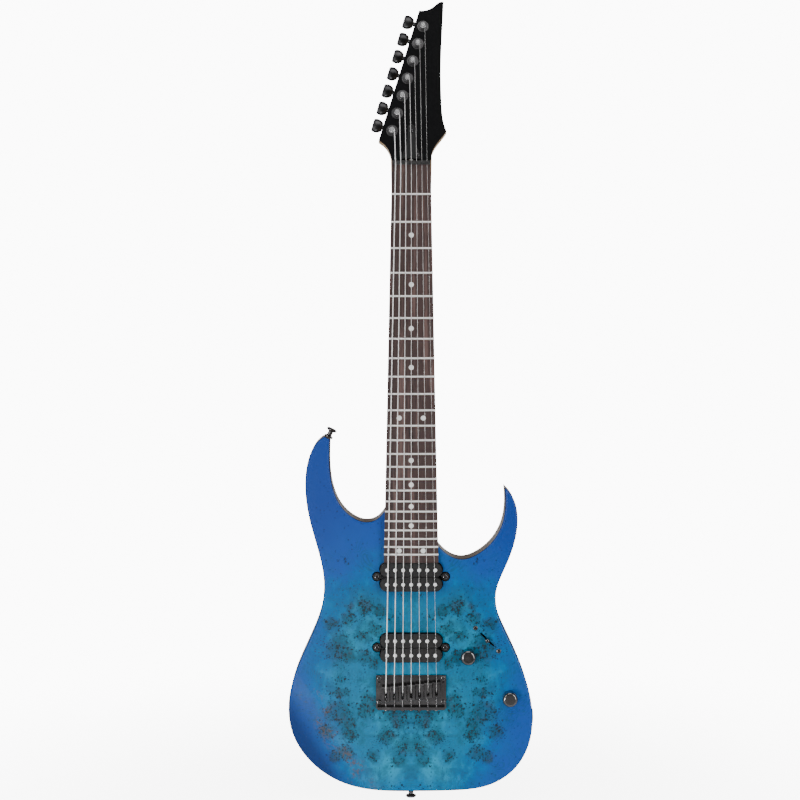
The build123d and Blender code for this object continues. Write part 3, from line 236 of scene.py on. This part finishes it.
def figuredTop():
    finish, tree, skin = newFinish("blueBurlTop")
    place = objectPlace(tree)
    x, y, z = addNode(tree, "ShaderNodeSeparateXYZ", None, Vector=place).outputs
    side = calc(tree, "ABSOLUTE", x)
    mirrored = addNode(tree, "ShaderNodeCombineXYZ", None, X=side, Y=0.0, Z=z).outputs[0]
    away = topBurst(tree, x, z, mirrored)

    # transparent colour: bright middle, teal clouds, azure edge, deeper corners
    loose = pushed(tree, mirrored, 34.0, 0.022)
    clouds = noise(tree, loose, 20.0, 5.0, 0.62)
    colour = blendColour(tree, fade(tree, clouds, 0.44, 0.66), topLook["centre"], topLook["bright"])
    shade = noise(tree, loose, 36.0, 5.0, 0.66)
    teal = times(tree, fade(tree, shade, 0.46, 0.62), topLook["tealAmount"])
    colour = blendColour(tree, teal, colour, topLook["teal"])
    colour = blendColour(tree, fade(tree, away, 0.42, 0.98), colour, topLook["edge"])
    colour = blendColour(tree, fade(tree, away, 0.95, 1.5), colour, topLook["deep"])

    # fine curled grain that runs round the burls
    ragged = pushed(tree, mirrored, 95.0, 0.013)
    cluster = burlField(tree, ragged)
    inside = fade(tree, away, 1.25, 0.85)
    swirl = plus(tree, noise(tree, mirrored, 19.0, 3.0, 0.5, 1.3), times(tree, cluster, 0.22))
    lines = fade(tree, calc(tree, "SINE", times(tree, swirl, topLook["lineCount"])), 0.0, 1.0)
    lineLevel = fade(tree, noise(tree, mirrored, 30.0, 3.0), 0.42, 0.62, 0.04, 0.50)
    lines = times(tree, times(tree, lines, lineLevel), inside)
    colour = blendColour(tree, lines, colour, topLook["line"])
    streaks = noise(tree, pushed(tree, mirrored, 60.0, 0.016), 170.0, 4.0, 0.7)
    streaks = times(tree, fade(tree, streaks, 0.53, 0.68), inside)
    colour = blendColour(tree, times(tree, streaks, topLook["streakAmount"]), colour, topLook["line"])

    # smoky ground of each burl, then its dark flakes and dots
    grit = noise(tree, mirrored, 130.0, 4.0, 0.7)
    smoke = fade(tree, plus(tree, cluster, grit), 0.80, 1.50)
    smoke = times(tree, smoke, topLook["smokeAmount"])
    colour = blendColour(tree, smoke, colour, topLook["smoke"])
    plum = fade(tree, noise(tree, mirrored, 70.0, 3.0), 0.52, 0.62)
    plum = times(tree, plum, fade(tree, cluster, 0.4, 1.0, 0.0, 0.3))
    colour = blendColour(tree, plum, colour, topLook["plum"])
    patchy = fade(tree, noise(tree, mirrored, 75.0, 3.0, 0.6), 0.40, 0.58)
    spread = plus(tree, times(tree, cluster, plus(tree, times(tree, patchy, 0.75), 0.25)),
                  fade(tree, noise(tree, mirrored, 27.0, 4.0, 0.62), 0.55, 0.70, 0.0, 0.45))
    spread = times(tree, spread, inside)
    flakes = eyeLayer(tree, mirrored, topLook["flakeScale"], 210.0, 0.0062, spread, 1.02)
    dots = eyeLayer(tree, mirrored, topLook["dotScale"], 380.0, 0.0028, spread, 0.90)
    knotPlace = pushed(tree, mirrored, 190.0, 0.006)
    knots = addNode(tree, "ShaderNodeTexVoronoi", None, Vector=knotPlace, Scale=topLook["knotScale"])
    ring = calc(tree, "ABSOLUTE", calc(tree, "SUBTRACT", knots.outputs["Distance"], 0.36))
    ring = times(tree, fade(tree, ring, 0.10, 0.0), fade(tree, cluster, 0.2, 0.7))
    colour = blendColour(tree, times(tree, ring, topLook["ringAmount"]), colour, topLook["smoke"])
    colour = blendColour(tree, times(tree, dots, topLook["dotAmount"]), colour, topLook["eye"])
    colour = blendColour(tree, times(tree, flakes, topLook["flakeAmount"]), colour, topLook["eye"])
    eyes = calc(tree, "MAXIMUM", dots, flakes)

    # the forearm roll of the left leaf: rusty flecks along its start, painted shade beyond it
    fromX, fromZ = topLook["rollFrom"]
    acrossX, acrossZ = topLook["rollAcross"]
    before = plus(tree, times(tree, calc(tree, "SUBTRACT", x, fromX), acrossX),
                  times(tree, calc(tree, "SUBTRACT", z, fromZ), acrossZ))
    onLeft = fade(tree, x, -0.030, -0.060)
    paintedRollShade = times(tree, fade(tree, before, -0.004, -0.030), onLeft)
    paintedRollShade = times(tree, paintedRollShade, fade(tree, z, -0.600, -0.660))
    colour = blendColour(tree, times(tree, paintedRollShade, topLook["rollShadeAmount"]), colour, topLook["rollShadeColour"])
    fromBand = calc(tree, "ABSOLUTE", calc(tree, "SUBTRACT", before, 0.006))
    along = times(tree, fade(tree, fromBand, 0.021, 0.006), onLeft)
    along = times(tree, along, fade(tree, z, -0.650, -0.672))
    flecks = noise(tree, pushed(tree, place, 200.0, 0.006), 230.0, 4.0, 0.7)
    streaky = stretched(tree, place, (1.0, 1.0, 0.6))
    broken = fade(tree, noise(tree, streaky, 60.0, 3.0, 0.6), 0.44, 0.58)
    rust = times(tree, times(tree, along, broken), fade(tree, flecks, 0.47, 0.60))
    colour = blendColour(tree, times(tree, rust, topLook["rustAmount"]), colour, topLook["rust"])
    colour = blendColour(tree, fade(tree, side, 0.0003, 0.0, 0.0, 0.35), colour, topLook["line"])

    # painted shade where the face rolls over into the side, darker as the surface turns from the front
    facing = addNode(tree, "ShaderNodeSeparateXYZ", None,
                     Vector=addNode(tree, "ShaderNodeNewGeometry").outputs["Normal"]).outputs[1]
    colour = blendColour(tree, fade(tree, facing, -0.86, -0.45), colour, topLook["rim"])
    feed(tree, colour, skin, "Base Color")

    fine = noise(tree, stretched(tree, place, (1.0, 1.0, 0.25)), 900.0, 2.0)
    rough = fade(tree, fine, 0.3, 0.7, topLook["roughness"] - 0.05, topLook["roughness"] + 0.06)
    feed(tree, rough, skin, "Roughness")
    skin.inputs["Specular IOR Level"].default_value = topLook["shine"]
    pits = calc(tree, "SUBTRACT", times(tree, fine, 0.3), eyes)
    relief(tree, skin, pits, 0.10, topLook["pitDepth"])
    return finish


# plain timbers: body core, neck and fretboard share one recipe with different values

bodyTimberLook = {"light": (0.175, 0.135, 0.102, 1), "dark": (0.090, 0.064, 0.047, 1),
                  "pore": (0.040, 0.026, 0.018, 1), "grain": 34.0,
                  "poreScale": 420.0, "poreAmount": 0.75, "roughness": 0.50}
neckTimberLook = {"light": (0.720, 0.560, 0.370, 1), "dark": (0.590, 0.410, 0.240, 1),
                  "pore": (0.400, 0.250, 0.130, 1), "grain": 46.0,
                  "poreScale": 700.0, "poreAmount": 0.25, "roughness": 0.42}
boardTimberLook = {"light": (0.120, 0.070, 0.062, 1), "dark": (0.042, 0.022, 0.020, 1),
                   "pore": (0.010, 0.006, 0.006, 1), "grain": 110.0,
                   "poreScale": 900.0, "poreAmount": 0.85, "roughness": 0.48}


def timber(name, look):
    finish, tree, skin = newFinish(name)
    place = objectPlace(tree)
    long = stretched(tree, place, (1.0, 1.0, 0.06))
    broad = noise(tree, long, look["grain"], 4.0, 0.6, 0.4)
    bands = calc(tree, "PINGPONG", times(tree, broad, 6.0), 1.0)
    colour = blendColour(tree, fade(tree, bands, 0.0, 1.0), look["light"], look["dark"])
    colour = blendColour(tree, fade(tree, broad, 0.4, 0.62), colour, look["dark"])
    pores = noise(tree, stretched(tree, place, (1.0, 1.0, 0.035)), look["poreScale"], 2.0, 0.7)
    pores = fade(tree, pores, 0.56, 0.68)
    colour = blendColour(tree, times(tree, pores, look["poreAmount"]), colour, look["pore"])
    feed(tree, colour, skin, "Base Color")
    rough = fade(tree, broad, 0.3, 0.7, look["roughness"] - 0.06, look["roughness"] + 0.08)
    feed(tree, rough, skin, "Roughness")
    skin.inputs["Specular IOR Level"].default_value = 0.35
    relief(tree, skin, calc(tree, "SUBTRACT", 1.0, pores), 0.25, 0.0001)
    return finish


# metals

metalLooks = {
    "blackChrome": {"tint": (0.150, 0.146, 0.150, 1), "worn": (0.200, 0.195, 0.198, 1),
        "roughness": 0.11, "pure": 1.0},
    "keyBlack": {"tint": (0.030, 0.030, 0.031, 1), "worn": (0.052, 0.051, 0.052, 1),
        "roughness": 0.26, "pure": 1.0},
    # painted reflection: posts and bushings get a brighter chrome than the rest, for light their tilt does
    # not catch
    "postChromePaintedGlint": {"tint": (0.780, 0.775, 0.780, 1), "worn": (0.600, 0.595, 0.600, 1),
        "roughness": 0.22, "pure": 0.85},
    "bushingChromePaintedGlint": {"tint": (0.200, 0.196, 0.200, 1), "worn": (0.120, 0.118, 0.120, 1),
        "roughness": 0.24, "pure": 1.0},
    "fretMetal": {"tint": (0.95, 0.94, 0.92, 1), "worn": (0.86, 0.85, 0.83, 1),
        "roughness": 0.42, "pure": 0.70},
    "poleSteel": {"tint": (0.95, 0.95, 0.95, 1), "worn": (0.86, 0.86, 0.86, 1),
        "roughness": 0.42, "pure": 0.62},
    "stringSteel": {"tint": (0.93, 0.92, 0.91, 1), "worn": (0.78, 0.77, 0.76, 1),
        "roughness": 0.40, "pure": 0.70},
    "plainSteel": {"tint": (0.50, 0.50, 0.50, 1), "worn": (0.34, 0.33, 0.32, 1),
        "roughness": 0.38, "pure": 1.0},
}


def metal(name):
    look = metalLooks[name]
    finish, tree, skin = newFinish(name)
    place = objectPlace(tree)
    patches = noise(tree, place, 60.0, 4.0, 0.6)
    colour = blendColour(tree, fade(tree, patches, 0.45, 0.75), look["tint"], look["worn"])
    feed(tree, colour, skin, "Base Color")
    fine = noise(tree, place, 1500.0, 2.0)
    spots = plus(tree, times(tree, fine, 0.4), patches)
    rough = fade(tree, spots, 0.3, 1.0, look["roughness"] - 0.03, look["roughness"] + 0.07)
    feed(tree, rough, skin, "Roughness")
    relief(tree, skin, fine, 0.02, 0.00004)
    skin.inputs["Metallic"].default_value = look["pure"]
    return finish


# lacquer and plastics

plasticLooks = {
    "headGloss": {"colour": (0.0030, 0.0030, 0.0034, 1), "other": (0.0045, 0.0045, 0.0050, 1),
        "roughness": 0.09, "grit": 0.01, "shine": 0.40},
    "blackPlastic": {"colour": (0.0060, 0.0060, 0.0064, 1), "other": (0.011, 0.011, 0.011, 1),
        "roughness": 0.34, "grit": 0.12, "shine": 0.40},
    "coilTape": {"colour": (0.008, 0.008, 0.008, 1), "other": (0.020, 0.020, 0.020, 1),
        "roughness": 0.62, "grit": 0.3, "shine": 0.30},
    "nutBlack": {"colour": (0.012, 0.012, 0.012, 1), "other": (0.030, 0.030, 0.030, 1),
        "roughness": 0.40, "grit": 0.1, "shine": 0.40},
    "wireJacket": {"colour": (0.012, 0.012, 0.012, 1), "other": (0.022, 0.022, 0.022, 1),
        "roughness": 0.5, "grit": 0.1, "shine": 0.35},
    "markerPearl": {"colour": (0.90, 0.90, 0.87, 1), "other": (0.74, 0.77, 0.77, 1),
        "roughness": 0.22, "grit": 0.02, "shine": 0.50},
}


def plastic(name):
    look = plasticLooks[name]
    finish, tree, skin = newFinish(name)
    place = objectPlace(tree)
    mottle = noise(tree, place, 260.0, 3.0, 0.6, 0.8)
    colour = blendColour(tree, fade(tree, mottle, 0.4, 0.65), look["colour"], look["other"])
    feed(tree, colour, skin, "Base Color")
    fine = noise(tree, place, 2200.0, 2.0)
    rough = fade(tree, fine, 0.3, 0.7, look["roughness"] - 0.04, look["roughness"] + 0.06)
    feed(tree, rough, skin, "Roughness")
    skin.inputs["Specular IOR Level"].default_value = look["shine"]
    relief(tree, skin, fine, look["grit"], 0.00008)
    return finish


# which node wears which finish

chromeNodes = ["bridge_plate", "intonation_screws", "long_wood_screws", "machine_screws", "neck_bolts",
               "neck_ferrules", "output_jack", "small_wood_screws", "strap_buttons", "string_ferrules",
               "switch_lever", "tone_knob", "volume_knob", "tuner_housings"]
chromeNodes += ["saddle_%d" % number for number in range(1, 8)]
bushingNodes = ["tuner_bushings"]
keyNodes = ["tuner_key_%d" % number for number in range(1, 8)]
postNodes = ["tuner_post_%d" % number for number in range(1, 8)]
steelNodes = ["truss_rod", "truss_rod_nut", "pot_housings", "switch_frame"]
blackNodes = ["truss_rod_cover", "control_cover", "neck_pickup_bobbins", "neck_pickup_base",
              "bridge_pickup_bobbins", "bridge_pickup_base"]
coilNodes = ["neck_pickup_coils", "bridge_pickup_coils"]
poleNodes = ["neck_pickup_poles", "bridge_pickup_poles"]


def dressGuitar():
    useFinish("body_top", figuredTop())
    useFinish("body_core", timber("bodyTimber", bodyTimberLook))
    useFinish("neck", timber("neckTimber", neckTimberLook))
    useFinish("fretboard", timber("boardTimber", boardTimberLook))
    useFinish("headstock_face", plastic("headGloss"))
    useFinish("frets", metal("fretMetal"))
    useFinish("nut", plastic("nutBlack"))
    useFinish("position_markers", plastic("markerPearl"))
    useFinish("strings", metal("stringSteel"))
    useFinish("wiring", plastic("wireJacket"))
    groups = [(chromeNodes, metal("blackChrome")), (keyNodes, metal("keyBlack")),
              (postNodes, metal("postChromePaintedGlint")), (bushingNodes, metal("bushingChromePaintedGlint")),
              (steelNodes, metal("plainSteel")), (blackNodes, plastic("blackPlastic")),
              (coilNodes, plastic("coilTape")), (poleNodes, metal("poleSteel"))]
    for names, finish in groups:
        for name in names:
            useFinish(name, finish)


dressGuitar()
print("finishes applied")


# wrap wire on the four thick strings, from the saddle over the nut to the post

windingLook = {
    "thickerThan": 0.00026,
    "pitch": 0.00056,
    "ridge": 0.07,
    "proud": 0.00002,
    "offSaddle": 0.0032,
    "sides": 8,
}


def stringRuns():
    # each string's own rings in the frame give the middle of its saddle, nut and post ends
    source = bmesh.new()
    source.from_mesh(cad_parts["strings"].data)
    bmesh.ops.remove_doubles(source, verts=source.verts, dist=1e-7)
    left = set(source.verts)
    runs = []
    while left:
        seed = left.pop()
        group, queue = [seed], [seed]
        while queue:
            for edge in queue.pop().link_edges:
                for vert in edge.verts:
                    if vert in left:
                        left.remove(vert)
                        group.append(vert)
                        queue.append(vert)
        runs.append(sorted((vert.co.copy() for vert in group), key=lambda spot: spot.z))
    source.free()
    return [splitRings(run) for run in runs]


def splitRings(spots, gap=0.002):
    rings = [[spots[0]]]
    for spot in spots[1:]:
        if spot.z - rings[-1][-1].z > gap:
            rings.append([])
        rings[-1].append(spot)
    middles = []
    for ring in rings:
        low = Vector([min(spot[k] for spot in ring) for k in range(3)])
        high = Vector([max(spot[k] for spot in ring) for k in range(3)])
        middles.append(((low + high) / 2, (high.x - low.x) / 2))
    return middles


def windingTree(finish):
    tree = bpy.data.node_groups.new("stringWinding", "GeometryNodeTree")
    tree.interface.new_socket("Geometry", in_out="INPUT", socket_type="NodeSocketGeometry")
    pitchSocket = tree.interface.new_socket("Pitch", in_out="INPUT", socket_type="NodeSocketFloat")
    ridgeSocket = tree.interface.new_socket("Ridge", in_out="INPUT", socket_type="NodeSocketFloat")
    tree.interface.new_socket("Geometry", in_out="OUTPUT", socket_type="NodeSocketGeometry")
    start = tree.nodes.new("NodeGroupInput")
    half = times(tree, start.outputs["Pitch"], 0.5)
    dense = addNode(tree, "GeometryNodeResampleCurve", {"mode": "LENGTH"}, Curve=start.outputs["Geometry"],
                    Length=half)
    index = addNode(tree, "GeometryNodeInputIndex").outputs[0]
    dip = times(tree, calc(tree, "MODULO", index, 2.0), start.outputs["Ridge"])
    radius = addNode(tree, "GeometryNodeInputRadius").outputs[0]
    ridged = times(tree, radius, calc(tree, "SUBTRACT", 1.0, dip))
    ring = addNode(tree, "GeometryNodeCurvePrimitiveCircle", None, Resolution=windingLook["sides"],
                   Radius=1.0)
    tube = tree.nodes.new("GeometryNodeCurveToMesh")
    tree.links.new(dense.outputs[0], tube.inputs["Curve"])
    tree.links.new(ring.outputs[0], tube.inputs["Profile Curve"])
    tree.links.new(ridged, tube.inputs["Scale"])
    tube.inputs["Fill Caps"].default_value = True
    real = addNode(tree, "GeometryNodeRealizeInstances", None, Geometry=tube.outputs[0])
    dressed = addNode(tree, "GeometryNodeSetMaterial", None, Geometry=real.outputs[0], Material=finish)
    end = tree.nodes.new("NodeGroupOutput")
    tree.links.new(dressed.outputs[0], end.inputs[0])
    return tree, pitchSocket, ridgeSocket


def windingPath(rings):
    # a curve that carries the wrap's radius in its points
    curve = bpy.data.curves.new("windingPath", "CURVE")
    curve.dimensions = "3D"
    spline = curve.splines.new("POLY")
    spline.points.add(len(rings) - 1)
    for point, (middle, radius) in zip(spline.points, rings):
        point.co = (*middle, 1.0)
        point.radius = radius
    holder = bpy.data.objects.new("windingPath", curve)
    bpy.context.scene.collection.objects.link(holder)
    return holder


def wound(holder, tree, inputs):
    # runs the tree over the path once and keeps only the mesh
    modifier = holder.modifiers.new("winding", "NODES")
    modifier.node_group = tree
    for socket, value in inputs:
        modifier[socket.identifier] = value
    ready = holder.evaluated_get(bpy.context.evaluated_depsgraph_get())
    mesh = bpy.data.meshes.new_from_object(ready)
    bpy.data.objects.remove(holder)
    return mesh


def windStrings():
    tree, pitchSocket, ridgeSocket = windingTree(metal("stringSteel"))
    inputs = [(pitchSocket, windingLook["pitch"]), (ridgeSocket, windingLook["ridge"])]
    made = 0
    for rings in stringRuns():
        rings = rings[1:]  # the first one is down in the bridge
        radius = min(ring[1] for ring in rings)
        if radius < windingLook["thickerThan"]:
            continue
        made += 1
        middles = [ring[0] for ring in rings]
        middles[0] += (middles[1] - middles[0]).normalized() * windingLook["offSaddle"]
        proud = radius + windingLook["proud"]
        mesh = wound(windingPath([(middle, proud) for middle in middles]), tree, inputs)
        piece = bpy.data.objects.new("string_winding_%d" % made, mesh)
        bpy.context.scene.collection.objects.link(piece)
        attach(piece, "root")
        print("winding", made, "radius mm", round(radius * 1000, 3), "faces", len(mesh.polygons))


windStrings()
print("thick strings wound")


# studio: pale paper under the guitar, soft lights, camera

studio = {
    "floorDrop": 0.004,
    "paperReach": 1.1,
    "paperCorners": 96,
    "paper": (0.88, 0.88, 0.88, 1),
    "paperGlow": 6.5,
    "air": 0.16,
    "surround": 11.0,
}


def paperFinish():
    # pale paper that thins out into the white surround
    finish, tree, skin = newFinish("palePaper")
    place = objectPlace(tree)
    fibres = noise(tree, place, 240.0, 3.0)
    base = studio["paper"]
    other = tuple(level * 0.97 for level in base[:3]) + (1,)
    tree.links.new(blendColour(tree, fibres, base, other), skin.inputs["Base Color"])
    skin.inputs["Roughness"].default_value = 0.9
    skin.inputs["Emission Color"].default_value = (1.0, 1.0, 1.0, 1)
    seen = addNode(tree, "ShaderNodeLightPath").outputs["Is Camera Ray"]
    tree.links.new(times(tree, seen, studio["paperGlow"]), skin.inputs["Emission Strength"])
    flat = vectorCalc(tree, "MULTIPLY", place, (1.0, 1.0, 0.0))
    out = addNode(tree, "ShaderNodeVectorMath", {"operation": "LENGTH"}, i0=flat).outputs["Value"]
    feed(tree, fade(tree, out, 0.12, studio["paperReach"] * 0.9, 1.0, 0.0), skin, "Alpha")
    return finish


def buildPaper():
    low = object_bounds()[0][2] - studio["floorDrop"]
    mesh = bpy.data.meshes.new("paperSheet")
    count = studio["paperCorners"]
    reach = studio["paperReach"]
    turns = [2 * math.pi * step / count for step in range(count)]
    rim = [(reach * math.cos(turn), reach * math.sin(turn), low) for turn in turns]
    mesh.from_pydata(rim, [], [list(range(count))])
    mesh.materials.append(paperFinish())
    sheet = bpy.data.objects.new("paperSheet", mesh)
    sheet.visible_shadow = False  # the low lamp shines through it
    bpy.context.scene.collection.objects.link(sheet)


lamps = [
    {"name": "leftPanel", "at": (-1.55, -1.90, -0.05), "aim": (0.0, 0.0, -0.38),
     "size": (0.9, 2.1), "power": 20},
    {"name": "rightPanel", "at": (1.55, -1.90, -0.05), "aim": (0.0, 0.0, -0.38),
     "size": (0.9, 2.1), "power": 38},
    {"name": "topPanel", "at": (0.0, -1.15, 1.85), "aim": (0.0, 0.0, -0.30),
     "size": (1.8, 1.1), "power": 26},
    {"name": "sheenPanel", "at": (-0.80, -2.15, -0.98), "aim": (-0.10, 0.0, -0.70),
     "size": (0.35, 0.35), "power": 19},
    {"name": "rearLeftPanel", "at": (-1.60, 2.10, 0.30), "aim": (0.0, 0.0, -0.40),
     "size": (1.4, 2.0), "power": 34},
    {"name": "rearRightPanel", "at": (1.60, 2.10, 0.60), "aim": (0.0, 0.0, -0.40),
     "size": (1.4, 1.8), "power": 30},
]


def pointAt(thing, target):
    thing.rotation_euler = (Vector(target) - thing.location).to_track_quat("-Z", "Y").to_euler()


def buildLamps():
    for lamp in lamps:
        light = bpy.data.lights.new(lamp["name"], "AREA")
        light.shape = "RECTANGLE"
        light.size, light.size_y = lamp["size"]
        light.energy = lamp["power"]
        holder = bpy.data.objects.new(lamp["name"], light)
        holder.location = lamp["at"]
        pointAt(holder, lamp["aim"])
        holder.visible_camera = False
        bpy.context.scene.collection.objects.link(holder)


def buildAir():
    # a dim room for the guitar, a white surround behind it
    world = bpy.data.worlds.new("studioAir")
    world.use_nodes = True
    tree = world.node_tree
    sky = tree.nodes["Background"]
    sky.inputs[0].default_value = (1.0, 1.0, 1.0, 1)
    seen = addNode(tree, "ShaderNodeLightPath").outputs["Is Camera Ray"]
    level = plus(tree, times(tree, seen, studio["surround"] - studio["air"]), studio["air"])
    tree.links.new(level, sky.inputs[1])
    bpy.context.scene.world = world


cameraSet = {
    "target": (-0.0140, 0.0, -0.2922),
    "distance": 2.6,
    "elevation": 4.0,
    "lens": 93.7,
}


def buildCamera():
    lens = bpy.data.cameras.new("frontCamera")
    lens.lens = cameraSet["lens"]
    lens.sensor_width = 36.0
    camera = bpy.data.objects.new("frontCamera", lens)
    tilt = math.radians(cameraSet["elevation"])
    back = Vector((0, -math.cos(tilt), math.sin(tilt))) * cameraSet["distance"]
    camera.location = Vector(cameraSet["target"]) + back
    camera.rotation_euler = (math.pi / 2 - tilt, 0, 0)
    bpy.context.scene.collection.objects.link(camera)
    bpy.context.scene.camera = camera


buildPaper()
buildLamps()
buildAir()
buildCamera()
print("studio built")
